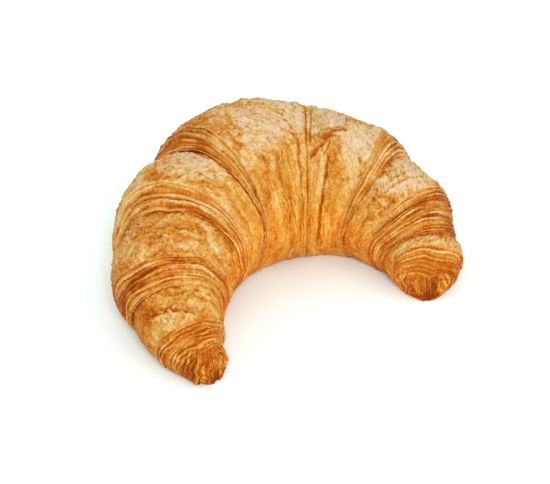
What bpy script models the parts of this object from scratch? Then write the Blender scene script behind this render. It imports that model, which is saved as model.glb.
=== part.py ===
"""A butter croissant: one baked piece, rolled in tiers and bent into a crescent.

Units are metres, +Z is up. The piece rests on its flat underside at Z = 0, with the middle
of its footprint at X = 0, Y = 0. The crown lies towards +Y and both horns reach to -Y.

The roll is described by two coordinates. "Reach" runs along the bent roll, negative towards
the left horn and positive towards the right one. "Turn" runs round it: 0 degrees on the outer
back, 90 on top, 180 on the inner side that faces the bay, 270 underneath.
"""

import math
from collections import namedtuple

import bmesh
import bpy
import numpy as np
from mathutils import Matrix, Vector, noise

MM = 0.001

# The two horns: how long each arm is, how far it bends, and its half width and height
# at the middle of the piece, half way along and close to the tip.
Horn = namedtuple("Horn", "length bend_deg half_widths heights")
LEFT_HORN = Horn(105.5, 102.2, (33.2, 25.0, 12.0), (63.2, 45.9, 18.5))
RIGHT_HORN = Horn(103.4, 123.5, (33.2, 26.0, 13.8), (63.2, 45.8, 24.0))
HALF_WAY = 0.55
NEAR_TIP = 0.93
SWELL_POWER = 1.6
TAPER_POWER = 1.15
TIP_BLUNTNESS = 0.98

# The section of the roll: widest at this share of its height, flat underneath.
WAIST = 0.42
UNDERSIDE_TUCK = 1.25

# A line that runs round the roll: its reach on top, on the back and in the bay, in
# millimetres, and how far the crust stands above or below the plain roll there, over the
# crown and back and in the bay. "rings" counts the rows of faces on a stretch of smooth skin
# between this line and the one before, and "layers" the cut dough layers that step down there.
Line = namedtuple("Line", "top back bay lift bay_lift rings layers")
LINES = [
    Line(-105.5, -105.5, -105.5, 0.0, 0.0, 0, 0),
    Line(-100.0, -97.0, -97.5, -1.0, -2.8, 7, 0),
    Line(-93.0, -88.5, -89.5, 0.9, 0.6, 0, 4),
    Line(-80.5, -77.5, -82.0, -1.3, -0.3, 4, 0),
    Line(-70.5, -65.5, -67.5, 1.8, -0.4, 0, 6),
    Line(-54.0, -55.0, -50.5, -3.4, -0.8, 5, 0),
    Line(-42.0, -40.5, -42.5, 2.2, 0.3, 0, 6),
    Line(-26.5, -31.0, -24.0, -3.6, -1.2, 5, 0),
    Line(-15.5, -14.5, -20.0, 1.0, -0.4, 0, 5),
    Line(22.0, 22.0, 20.0, 0.1, 1.2, 12, 0),
    Line(26.0, 26.5, 24.0, -1.7, -0.2, 2, 0),
    Line(29.5, 30.0, 27.5, 0.0, 1.0, 2, 0),
    Line(39.0, 40.0, 34.5, 0.8, -0.6, 4, 0),
    Line(56.5, 53.0, 58.0, 2.3, -2.4, 8, 0),
    Line(64.5, 65.0, 58.5, -3.0, -3.4, 0, 4),
    Line(79.5, 72.5, 77.0, 2.5, -1.4, 5, 0),
    Line(94.5, 88.0, 89.0, -1.7, -1.2, 0, 7),
    Line(98.5, 93.5, 94.0, 1.4, 0.3, 2, 0),
    Line(101.5, 99.5, 99.0, -0.7, -0.9, 0, 3),
    Line(103.4, 103.4, 103.4, 0.0, 0.0, 5, 0),
]

# A cut layer rises over this share of its step and drops over the rest. Its lip and foot
# stand this far out of and below the mean slope, and flatten towards the bay.
TREAD_SHARE = 0.66
LAYER_LIP = 0.8
LAYER_FOOT = 0.5
LAYER_IN_BAY = 0.45

# The bay side of the roll begins a little past the top. Relief fades on the flat underside.
BAY_GAIN = 1.1
BAY_START = 0.1
UNDER_RELIEF = 0.25

# A torn sheet of crust to the right of the seam. It lifts away slowly from the back and
# from the seam, and ends in two sharp edges.
FLAP_LIFT = 1.6
FLAP_REACH_START = 27.0
FLAP_REACH_END = 41.5
FLAP_TURN_START_DEG = 48.0
FLAP_TURN_END_DEG = 104.0

# Unevenness of the crust, as pairs of size and depth, long folds that run down into the
# bay, the pinched ends of the horns, and the slow wander of the lines.
SWELLS = [(17.0, 0.7), (6.5, 0.55)]
FOLD_SPACING = 5.5
FOLD_STRETCH = 0.9
FOLD_DEPTH = 0.9
FOLD_ON_BACK = 0.3
TIP_LENGTH = 9.0
TIP_FOLDS = 7
TIP_FOLD_DEPTH = 1.1
LINE_WANDER = 0.9
LINE_WANDER_SCALE = 1.3
NOISE_ORIGIN = Vector((3.1, 7.7, 1.9))

# Faces round the roll: the flat underside needs fewer than the rest.
SEGMENTS_UNDER = 8
SEGMENTS_AROUND = 41
UNDER_START_DEG = 218.0
UNDER_END_DEG = 322.0

CRUST_COLOUR = (0.62, 0.30, 0.075, 1.0)
CRUST_ROUGHNESS = 0.55

OBJECT_NAME = "croissant"
COLLECTION_NAME = "butter_croissant"


def clear_scene():
    """Removes every object, so that the scene holds only the croissant."""
    for item in list(bpy.data.objects):
        bpy.data.objects.remove(item, do_unlink=True)


def horn_of(reach):
    """The horn that a reach lies on."""
    return LEFT_HORN if reach < 0 else RIGHT_HORN


def tapered(share, sizes):
    """A half width or height at a share of a horn's length, rounded off at the tip."""
    middle, half_way, tip = sizes
    if share < HALF_WAY:
        size = middle + (half_way - middle) * (share / HALF_WAY) ** SWELL_POWER
    else:
        past = (share - HALF_WAY) / (NEAR_TIP - HALF_WAY)
        size = half_way + (tip - half_way) * past**TAPER_POWER
    rounding = min(max((share - NEAR_TIP) / (1.0 - NEAR_TIP), 0.0), 1.0)
    return size * math.sqrt(1.0 - TIP_BLUNTNESS * rounding**2)


def spine_frame(reach):
    """The spine's point and its sideways direction, away from the bay, in plan."""
    horn = horn_of(reach)
    side = -1.0 if reach < 0 else 1.0
    radius = horn.length / math.radians(horn.bend_deg)
    angle = abs(reach) / radius
    point = (side * radius * math.sin(angle), -radius * (1.0 - math.cos(angle)))
    outward = (side * math.sin(angle), math.cos(angle))
    return point, outward


def line_reach(line, turn, index):
    """Where a line crosses the roll at a turn, with its own slow wander."""
    middle = (line.back + line.bay) / 2
    reach = middle + (line.back - line.bay) / 2 * math.cos(turn)
    reach += (line.top - middle) * max(math.sin(turn), 0.0)
    around = Vector((math.cos(turn), math.sin(turn), index)) * LINE_WANDER_SCALE
    return reach + LINE_WANDER * noise.noise(around + NOISE_ORIGIN)


def ring_rows():
    """Each ring as the index of its line, its share of the way there, and its ridge."""
    rows = []
    for index in range(1, len(LINES)):
        if LINES[index].layers:
            rows += layer_rows(index)
        else:
            rows += skin_rows(index)
    return rows[:-1]


def skin_rows(index):
    """Rings of a smooth stretch, closer together where it rounds off at a tip."""
    rings = LINES[index].rings
    rows = []
    for step in range(1, rings + 1):
        share = step / rings
        if index == 1:
            share = 1.0 - math.cos(share * math.pi / 2)
        if index == len(LINES) - 1:
            share = math.sin(share * math.pi / 2)
        rows.append((index, share, 0.0))
    return rows


def layer_rows(index):
    """Rings of a cut edge: each layer is a tread that climbs to a lip, then a drop."""
    line = LINES[index]
    climbs = line.lift > LINES[index - 1].lift
    lip = 1.0 - TREAD_SHARE if climbs else TREAD_SHARE
    rows = []
    for step in range(line.layers):
        rows.append((index, (step + lip) / line.layers, LAYER_LIP))
        rows.append((index, (step + 1) / line.layers, -LAYER_FOOT))
    if climbs:
        rows[-1] = (index, 1.0, 0.0)
    return rows


def line_lift(index, share, bayness):
    """How far the crust stands out at a share of the way between two lines."""
    before, line = LINES[index - 1], LINES[index]
    start = before.lift + (before.bay_lift - before.lift) * bayness
    end = line.lift + (line.bay_lift - line.lift) * bayness
    if line.layers:
        rise = share
    elif line.lift > before.lift:
        rise = math.sin(share * math.pi / 2)
    else:
        rise = 1.0 - math.cos(share * math.pi / 2)
    return start + (end - start) * rise


def flap_lift(reach, turn):
    """How far the torn sheet beside the seam has lifted."""
    along = (reach - FLAP_REACH_START) / (FLAP_REACH_END - FLAP_REACH_START)
    turn_range = FLAP_TURN_END_DEG - FLAP_TURN_START_DEG
    around = (math.degrees(turn) - FLAP_TURN_START_DEG) / turn_range
    if min(along, around) < 0.0 or max(along, around) > 1.0:
        return 0.0
    return FLAP_LIFT * math.sqrt(along) * around


def swell(point):
    """The slow unevenness of the crust at a point in millimetres."""
    return sum(size * noise.noise(point / scale + NOISE_ORIGIN) for scale, size in SWELLS)


def bay_folds(reach, turn, bayness):
    """Long soft folds that run down the crust into the bay."""
    place = Vector((reach / FOLD_SPACING, turn * FOLD_STRETCH, 0.0))
    depth = FOLD_DEPTH * (FOLD_ON_BACK + (1.0 - FOLD_ON_BACK) * bayness)
    return depth * noise.noise(place + NOISE_ORIGIN)


def tip_pinch(reach, turn):
    """The pleats that gather the dough at the end of a horn."""
    left_over = horn_of(reach).length - abs(reach)
    gathered = min(max(1.0 - left_over / TIP_LENGTH, 0.0), 1.0)
    return TIP_FOLD_DEPTH * gathered * math.sin(TIP_FOLDS * turn + reach)


def surface_point(reach, turn, lift):
    """A point of the crust in metres."""
    horn = horn_of(reach)
    share = min(abs(reach) / horn.length, 1.0)
    half_width = tapered(share, horn.half_widths)
    height = tapered(share, horn.heights)
    (x, y), (out_x, out_y) = spine_frame(reach)
    cosine, sine = math.cos(turn), math.sin(turn)
    if sine > 0:
        level = WAIST + (1.0 - WAIST) * sine
    else:
        level = WAIST + WAIST * UNDERSIDE_TUCK * sine
        lift *= 1.0 + (1.0 - UNDER_RELIEF) * sine
    across = half_width * cosine
    plain = Vector((x + out_x * across, y + out_y * across, level * height))
    lift += swell(plain) * min(1.0, half_width / horn.half_widths[2])
    plain += Vector((out_x * cosine * lift, out_y * cosine * lift, sine * lift))
    plain.z = max(plain.z, 0.0)
    return plain * MM


def segment_turns():
    """The turn of each row of points round the roll, in radians."""
    under = np.linspace(UNDER_START_DEG, UNDER_END_DEG, SEGMENTS_UNDER, endpoint=False)
    around = np.linspace(UNDER_END_DEG, UNDER_START_DEG + 360.0, SEGMENTS_AROUND, endpoint=False)
    return [math.radians(angle % 360.0) for angle in (*under, *around)]


def ring_point(row, turn):
    """A point of one ring of the croissant."""
    index, share, ridge = row
    start = line_reach(LINES[index - 1], turn, index - 1)
    end = line_reach(LINES[index], turn, index)
    if index == 1:
        start = -LEFT_HORN.length
    if index == len(LINES) - 1:
        end = RIGHT_HORN.length
    reach = start + (end - start) * share
    bayness = min(max(BAY_START - BAY_GAIN * math.cos(turn), 0.0), 1.0)
    lift = line_lift(index, share, bayness)
    lift += ridge * (1.0 + (LAYER_IN_BAY - 1.0) * bayness)
    lift += flap_lift(reach, turn) + bay_folds(reach, turn, bayness) + tip_pinch(reach, turn)
    return surface_point(reach, turn, lift)


def tip_point(horn, side):
    """The outermost point of a horn."""
    (x, y), _ = spine_frame(side * horn.length)
    height = tapered(1.0, horn.heights)
    return Vector((x, y, WAIST * height)) * MM


def make_croissant():
    """A sphere of rings whose points are moved onto the croissant's crust."""
    rows = ring_rows()
    turns = segment_turns()
    mesh = bpy.data.meshes.new(OBJECT_NAME)
    shape = bmesh.new()
    bands = len(rows) + 1
    bmesh.ops.create_uvsphere(shape, u_segments=len(turns), v_segments=bands, radius=1.0)
    for vertex in shape.verts:
        x, y, z = vertex.co
        band = round(math.acos(min(max(z, -1.0), 1.0)) / math.pi * bands)
        if band == 0:
            vertex.co = tip_point(RIGHT_HORN, 1.0)
        elif band == bands:
            vertex.co = tip_point(LEFT_HORN, -1.0)
        else:
            segment = round(math.atan2(y, x) / (2 * math.pi) * len(turns)) % len(turns)
            vertex.co = ring_point(rows[-band], turns[segment])
    shape.to_mesh(mesh)
    shape.free()
    mesh.shade_smooth()
    return mesh


def centre_on_footprint(mesh):
    """Moves the piece so that the middle of its footprint is at X = 0, Y = 0."""
    points = np.array([vertex.co for vertex in mesh.vertices])
    middle = (points.min(axis=0) + points.max(axis=0)) / 2
    mesh.transform(Matrix.Translation((-middle[0], -middle[1], 0.0)))


def crust_material():
    """Golden brown baked crust with a soft egg-wash gloss."""
    material = bpy.data.materials.new("baked_crust")
    material.use_nodes = True
    shader = material.node_tree.nodes["Principled BSDF"]
    shader.inputs["Base Color"].default_value = CRUST_COLOUR
    shader.inputs["Roughness"].default_value = CRUST_ROUGHNESS
    shader.inputs["Metallic"].default_value = 0.0
    return material


def main():
    """Builds the croissant in its own collection."""
    clear_scene()
    collection = bpy.data.collections.new(COLLECTION_NAME)
    bpy.context.scene.collection.children.link(collection)
    mesh = make_croissant()
    centre_on_footprint(mesh)
    mesh.materials.append(crust_material())
    collection.objects.link(bpy.data.objects.new(OBJECT_NAME, mesh))


main()
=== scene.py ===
"""A butter croissant in its baked finish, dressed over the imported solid.

As in the solid, "reach" runs along the bent roll in millimetres, negative towards the left
horn, and "turn" runs round it: 0 on the outer back, a quarter turn on top, half a turn on the
inner side that faces the bay. Each tier is a closed skin that comes out from under the one
before it, swells to a crest, steps down over its cut dough layers and tucks under.
"""

import logging
import math
from collections.abc import Callable, Mapping, Sequence
from dataclasses import dataclass, field, replace
from enum import Enum
from functools import cached_property
from itertools import product
from typing import Any, NamedTuple

import bpy
import numpy as np
from mathutils import Matrix, Vector, noise


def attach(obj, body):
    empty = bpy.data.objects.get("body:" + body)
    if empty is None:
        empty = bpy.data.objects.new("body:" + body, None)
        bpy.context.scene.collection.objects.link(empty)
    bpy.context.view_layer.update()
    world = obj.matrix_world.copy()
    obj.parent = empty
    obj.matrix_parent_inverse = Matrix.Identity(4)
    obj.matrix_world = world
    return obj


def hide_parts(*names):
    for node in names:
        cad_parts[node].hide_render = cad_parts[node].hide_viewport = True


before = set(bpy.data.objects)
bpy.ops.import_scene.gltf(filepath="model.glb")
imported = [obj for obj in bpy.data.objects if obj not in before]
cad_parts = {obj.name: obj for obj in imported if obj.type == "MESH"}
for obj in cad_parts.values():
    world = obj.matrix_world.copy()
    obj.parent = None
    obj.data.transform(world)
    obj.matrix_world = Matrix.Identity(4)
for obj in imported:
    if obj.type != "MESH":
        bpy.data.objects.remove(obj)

LOG = logging.getLogger("croissant")
MM = 0.001
NODE = "croissant"
BODY = "root"

Array = np.ndarray
Triple = tuple[float, float, float]
Colour = tuple[float, float, float, float]


def soft_step(low: float, high: float, value: Array) -> Array:
    """A soft switch from 0 at low to 1 at high."""
    part = np.clip((value - low) / (high - low), 0, 1)
    return part * part * (3 - 2 * part)


def mix(first: Any, second: Any, share: Any) -> Any:
    """What lies between two values at a share of the way."""
    return first + (second - first) * share


def off_ridge(values: Array, sharpness: float) -> Array:
    """How far noise is from its zero lines, from 0 on them to 1."""
    return np.clip(np.abs(values) * sharpness, 0, 1)


def circle(turn: Array) -> Array:
    """A point on a circle of radius 1 for each turn."""
    return np.stack([np.cos(turn), np.sin(turn), 0 * turn], -1)


class Grain:
    """Seeded smooth noise over points in space, from about -1 to 1."""

    SPREAD = 300.0

    def __init__(self, seed: int) -> None:
        """Picks the place in the noise that the seed stands for."""
        self.shift = np.random.default_rng(seed).random(3) * self.SPREAD

    def at(self, points: Array, octaves: int = 2) -> Array:
        """The noise at points.

        Args:
            points: an array whose last axis holds three coordinates.
            octaves: how many sizes of noise are added, each half the size of the one before.

        Returns:
            One value for each point.
        """
        places = (points + self.shift).reshape(-1, 3).tolist()
        values = [noise.fractal(place, 1.0, 2.0, octaves) for place in places]
        return np.array(values).reshape(points.shape[:-1])

    def over(self, x: Array, y: Array, z: float = 0.0, octaves: int = 2) -> Array:
        """The noise at places given by separate coordinates."""
        return self.at(np.stack([x, y, 0 * x + z], -1), octaves)


class Cells:
    """A seeded pattern of irregular cells over a flat sheet, such as flakes or bubbles."""

    GRID = 128
    FAR = 9.0

    def __init__(self, seed: int) -> None:
        """Draws the cells that the seed stands for.

        Args:
            seed: the number that fixes every draw.
        """
        draw = np.random.default_rng(seed)
        self.middle = draw.random((self.GRID, self.GRID, 2))
        self.value = draw.random((self.GRID, self.GRID))

    def at(self, across: Array, along: Array) -> tuple[Array, Array, Array]:
        """The cell that each place falls in.

        Args:
            across: places along the sheet's first direction, a unit to a cell.
            along: places along its second direction.

        Returns:
            The cell's own number from 0 to 1, and how far the place is from its middle and edge.
        """
        column, row = np.floor(across).astype(np.int64), np.floor(along).astype(np.int64)
        nearest, second = np.full(across.shape, self.FAR), np.full(across.shape, self.FAR)
        value = np.zeros(across.shape)
        for dx, dy in product((-1, 0, 1), repeat=2):
            cell = (column + dx) % self.GRID, (row + dy) % self.GRID
            middle = self.middle[cell]
            gap_x, gap_y = column + dx + middle[..., 0] - across, row + dy + middle[..., 1] - along
            gap = np.hypot(gap_x, gap_y)
            closer = gap < nearest
            second = np.where(closer, nearest, np.minimum(second, gap))
            value = np.where(closer, self.value[cell], value)
            nearest = np.where(closer, gap, nearest)
        return value, nearest, second - nearest


@dataclass(frozen=True)
class Horn:
    """One arm of the crescent, in millimetres and degrees."""

    length: float
    bend_deg: float
    half_widths: Triple
    heights: Triple

    HALF_WAY, NEAR_TIP = 0.55, 0.93
    SWELL_POWER, TAPER_POWER = 1.6, 1.15
    TIP_BLUNTNESS = 0.98

    def tapered(self, share: Array, sizes: Triple) -> Array:
        """A size along the arm, rounded off at the tip.

        Args:
            share: places along the arm, 0 in the middle of the piece and 1 at the tip.
            sizes: the size in the middle, half way and near the tip.

        Returns:
            The size at each place.
        """
        middle, half_way, tip = sizes
        before = mix(middle, half_way, (share / self.HALF_WAY) ** self.SWELL_POWER)
        past = np.clip(share - self.HALF_WAY, 0, None) / (self.NEAR_TIP - self.HALF_WAY)
        after = mix(half_way, tip, past**self.TAPER_POWER)
        rounding = np.clip((share - self.NEAR_TIP) / (1 - self.NEAR_TIP), 0, 1)
        size = np.where(share < self.HALF_WAY, before, after)
        return size * np.sqrt(1 - self.TIP_BLUNTNESS * rounding**2)


@dataclass(frozen=True)
class Roll:
    """The plain bent roll that the tiers are raised on."""

    left: Horn = Horn(105.5, 102.2, (33.2, 25, 12), (63.2, 45.9, 18.5))
    right: Horn = Horn(103.4, 123.5, (33.2, 26, 13.8), (63.2, 45.8, 24))
    middle: tuple[float, float] = (-2.24, -21.72)
    waist: float = 0.42
    underside_tuck: float = 1.25
    under_relief: float = 0.25

    def length(self, reach: Array) -> Array:
        """The length of the horn that each reach lies on."""
        return np.where(reach < 0, self.left.length, self.right.length)

    def sizes(self, reach: Array) -> tuple[Array, ...]:
        """The roll's half width and height at each reach.

        Args:
            reach: where along the roll, in millimetres.

        Returns:
            The half widths and the heights.
        """
        share = np.clip(np.abs(reach) / self.length(reach), 0, 1)
        horns = (
            (horn.tapered(share, horn.half_widths), horn.tapered(share, horn.heights))
            for horn in (self.left, self.right)
        )
        return tuple(np.where(reach < 0, *pair) for pair in zip(*horns))

    def near_tip(self, reach: Array) -> Array:
        """How thin the roll is at each reach, from 1 along the arms to 0 at the ends."""
        tip = np.where(reach < 0, self.left.half_widths[-1], self.right.half_widths[-1])
        return np.minimum(1, self.sizes(reach)[0] / tip)

    def point(self, reach: Array, turn: Array, lift: Array, floor: Array) -> Array:
        """Points of the crust in millimetres, before the piece is centred.

        Args:
            reach: where along the roll, in millimetres.
            turn: where round it, in radians.
            lift: how far out of the plain roll, in millimetres.
            floor: the lowest height that a point may have, in millimetres.

        Returns:
            An array of points with X, Y and Z on the last axis.
        """
        horns = [horn.length / math.radians(horn.bend_deg) for horn in (self.left, self.right)]
        radius, side = np.where(reach < 0, *horns), np.where(reach < 0, -1, 1)
        angle = np.abs(reach) / radius
        half_width, height = self.sizes(reach)
        sine, under = np.sin(turn), np.sin(turn) < 0
        tuck = np.where(under, self.waist * self.underside_tuck, 1 - self.waist)
        lift = lift * np.where(under, 1 + (1 - self.under_relief) * sine, 1)
        across = (half_width + lift) * np.cos(turn)
        x = side * radius * np.sin(angle) + side * np.sin(angle) * across
        y = -radius * (1 - np.cos(angle)) + np.cos(angle) * across
        z = np.maximum((self.waist + tuck * sine) * height + lift * sine, floor)
        return np.stack([x, y, z], -1)

    def placed(self, points: Array) -> Array:
        """Points moved so that the footprint's middle is at the origin, in metres."""
        return (points - (*self.middle, 0)) * MM


@dataclass(frozen=True)
class Line:
    """A line that runs round the roll, and how far the crust stands out there.

    The reaches are on top, on the back and in the bay, and the lifts over the crown and in
    the bay, all in millimetres. The index sets the line's own slow wander, and the skew sets
    how far it leans forward half way down the back and backward half way down to the bay.
    """

    index: int
    top: float
    back: float
    bay: float
    lift: float
    bay_lift: float
    skew: float = 0.0

    WANDER = 0.6
    WANDER_SCALE = 1.3
    WANDER_ORIGIN = (3.1, 7.7, 1.9)

    def reach(self, turn: Array) -> Array:
        """Where the line crosses each turn.

        Args:
            turn: places round the roll, in radians.

        Returns:
            The reach at each turn.
        """
        middle = (self.back + self.bay) / 2
        reach = middle + (self.back - self.bay) / 2 * np.cos(turn)
        reach = reach + (self.top - middle) * np.maximum(np.sin(turn), 0)
        origin = Vector(self.WANDER_ORIGIN)
        around = [Vector((math.cos(a), math.sin(a), self.index)) for a in turn]
        wander = [noise.noise(place * self.WANDER_SCALE + origin) for place in around]
        return reach + self.skew * np.sin(2 * turn) + self.WANDER * np.array(wander)

    def lifts(self, bay: Array) -> Array:
        """How far the crust stands out at each turn."""
        return mix(self.lift, self.bay_lift, bay)


class Mark(Enum):
    """The lines of the roll, from the left end to the right end."""

    LEFT_END = Line(0, -105.5, -105.5, -105.5, 0, 0)
    LEFT_PINCH = Line(1, -100.4, -97.6, -98, -0.8, -1.8)
    LEFT_THIRD_CREST = Line(2, -93.2, -88.4, -90.6, 0.9, 0.6)
    LEFT_THIRD_GROOVE = Line(3, -79.9, -75.3, -84, -1.3, -0.3, -1.4)
    LEFT_SECOND_CREST = Line(4, -70.7, -65.5, -66.5, 1.8, -0.4, 0.3)
    LEFT_SECOND_GROOVE = Line(5, -52.2, -53.4, -49.5, -2.4, -0.8, 2.1)
    LEFT_FIRST_CREST = Line(6, -43.2, -47, -44, 2.2, 0.3, 1)
    LEFT_FIRST_GROOVE = Line(7, -24.3, -29.5, -22.6, -2.6, -1.2, 1.6)
    MIDDLE_LEFT_CREST = Line(8, -16, -16.5, -21, 1, -0.4)
    SEAM_LEFT = Line(9, 21.5, 21.5, 21, 0.3, 0.8)
    SEAM = Line(10, 26, 25, 26.1, -0.3, 0.3)
    SEAM_RIGHT = Line(11, 30.5, 30, 29.5, 0.1, 0.8)
    CRACK = Line(12, 38.7, 38, 36.4, 0.8, -0.2, -1.5)
    MIDDLE_RIGHT_CREST = Line(13, 56.1, 53, 56.2, 2, -1.8, -2.2)
    RIGHT_FIRST_GROOVE = Line(14, 62.6, 63, 58.5, -2.2, -2.4, -2.8)
    RIGHT_FIRST_CREST = Line(15, 79, 71, 73, 2.5, -1, -0.3)
    RIGHT_SECOND_GROOVE = Line(16, 92.1, 87.6, 87.6, -1.7, -0.8, -1.1)
    RIGHT_SECOND_CREST = Line(17, 97.6, 95, 94.2, 1.4, 0.3, 0.1)
    RIGHT_PINCH = Line(18, 102.1, 100.3, 99.8, -0.5, -0.7)
    RIGHT_END = Line(19, 103.4, 103.4, 103.4, 0, 0)


class Side(Enum):
    """Which way along the roll a tier runs."""

    LEFT = -1
    RIGHT = 1


class Start(Enum):
    """How a tier begins, as places along the tier and depths below its skin, in millimetres."""

    UNDER = ((-4, -5.4), (-3.2, -3.8), (-2.4, -2.4), (-1.6, -1.2), (-0.9, -0.45), (-0.4, -0.12))
    FOLD = ((1.6, -3.4), (0.4, -2.7), (-0.5, -1.9), (-0.9, -1.1), (-0.85, -0.45), (-0.4, 0))


class Ring(NamedTuple):
    """One ring of a tier, with a value for each turn or one for all."""

    reach: Array
    lift: Array
    straight: Array | float
    ridge: Array | float
    cut: float = 0
    sunk: float = 0
    tint: Array | float = 0


@dataclass(frozen=True)
class Crease:
    """A line in a skin that runs part of the way round, with a lip along one side of it.

    Turns are in degrees and the rest in millimetres. The shade sets how much darker the line is,
    partly browner crust and partly painted shade in the crease, and the lip is painted lighter, a
    painted highlight on its raised edge.
    """

    from_turn: float
    to_turn: float
    from_reach: float
    to_reach: float
    bow: float = 0.0
    width: float = 0.5
    depth: float = 0.6
    lip: float = 0.25
    lip_side: float = -1.0
    shade: float = 0.25
    uneven: float = 0.9
    bare: float = 0.0

    FADE = 0.1
    # How much lighter the lip is painted: a painted highlight on the raised edge.
    LIP_LIGHT = 0.38
    LIP_AT, LIP_WIDTH = 1.9, 1.5

    def marks(self, skin: "Skin") -> tuple[Array, Array]:
        """The shares of the line and of its lip at each point of a skin, from 0 to 1.

        Args:
            skin: the skin that it runs in.

        Returns:
            The share of the line and that of the lip.
        """
        share = (np.degrees(skin.turn) - self.from_turn) / (self.to_turn - self.from_turn)
        shown = soft_step(-self.FADE, self.FADE, share)
        shown = shown * (1 - soft_step(1 - self.FADE, 1 + self.FADE, share))
        inside = np.clip(share, 0, 1)
        path = mix(self.from_reach, self.to_reach, inside)
        path = path + self.bow * np.sin(math.pi * inside) + self.uneven * skin.mottle
        gap = skin.reach - path
        lip_gap = gap - self.LIP_AT * self.lip_side * self.width
        line = np.exp(-((gap / self.width) ** 2)) * shown
        return line, np.exp(-((lip_gap / (self.LIP_WIDTH * self.width)) ** 2)) * shown


@dataclass(frozen=True)
class Spot:
    """A place on the crust: its middle, and how far it reaches along the roll and round it.

    The turn is in degrees and the rest in millimetres.
    """

    reach: float
    turn: float
    length: float
    breadth: float

    def offsets(self, skin: "Skin") -> tuple[Array, Array]:
        """How far each point is from the middle along and round, as shares of the reach."""
        along = (skin.reach - self.reach) / self.length
        return along, (skin.turn - math.radians(self.turn)) * skin.girth / self.breadth


@dataclass(frozen=True)
class Patch(Spot):
    """A ragged spot: browner by its shade, paler by its pale, which is partly painted sheen."""

    pale: float = 0.0
    shade: float = 0.0

    CORE, EDGE = 0.55, 1.15
    MOTTLE, BLOTCH = 0.6, 0.48

    def cover(self, skin: "Skin") -> Array:
        """How far the patch covers each point, from 0 to 1."""
        ragged = self.MOTTLE * skin.mottle + self.BLOTCH * skin.blotch
        return 1 - soft_step(self.CORE, self.EDGE, np.hypot(*self.offsets(skin)) + ragged)


@dataclass(frozen=True)
class Dent(Spot):
    """A broad spot where the piece is fuller or thinner than the plain roll, by its lift."""

    lift: float

    def rise(self, skin: "Skin") -> Array:
        """How far the spot lifts each point of a skin."""
        along, across = self.offsets(skin)
        return self.lift * np.exp(-(along**2) - across**2)


@dataclass(frozen=True)
class Fan:
    """Pleats that fan out over a tip from a point on top of it, all in millimetres.

    They begin at the start and are full at the length, both measured from that point. The
    depth is how far they rise and sink, the ribs say how marked the fine lines are, and the
    pleats how close together they lie.
    """

    reach: float
    start: float
    length: float
    depth: float
    ribs: float
    pleats: float = 5.5

    FADE_IN = 0.3
    RIBS = 29.0
    PLEAT_LENGTH, RIB_LENGTH, RIB_SHIFT = 30.0, 14.0, 51.0
    CONTRAST = 1.5

    def draw(self, skin: "Skin", grain: Grain) -> tuple[Array, Array, Array]:
        """The pleats over a skin.

        Args:
            skin: the skin of the tier that ends in the tip.
            grain: the noise that makes them uneven.

        Returns:
            How full the pleats are from 0 to 1, their height from 0 to 1, and the fine lines.
        """
        zero, up = np.array(0.0), np.array(math.pi / 2)
        end = skin.roll.length(zero + self.reach) * skin.tier.side.value
        top, pole = (skin.roll.point(zero + reach, up, zero, zero) for reach in (self.reach, end))
        ahead = (pole - top)[:2] / np.linalg.norm((pole - top)[:2])
        gap = skin.plain - top
        forward = gap[..., 0] * ahead[0] + gap[..., 1] * ahead[1]
        sideways = gap[..., 0] * ahead[1] - gap[..., 1] * ahead[0]
        angle, far = np.arctan2(sideways, forward), np.linalg.norm(gap, axis=-1)
        full = soft_step(self.start, self.length, far) * soft_step(0, self.FADE_IN, skin.gathered)
        pleats = grain.over(angle * self.pleats, far / self.PLEAT_LENGTH)
        ribs = grain.over(angle * self.RIBS, far / self.RIB_LENGTH, self.RIB_SHIFT)
        return full, np.clip(0.5 + self.CONTRAST * pleats, 0, 1), ribs


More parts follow.
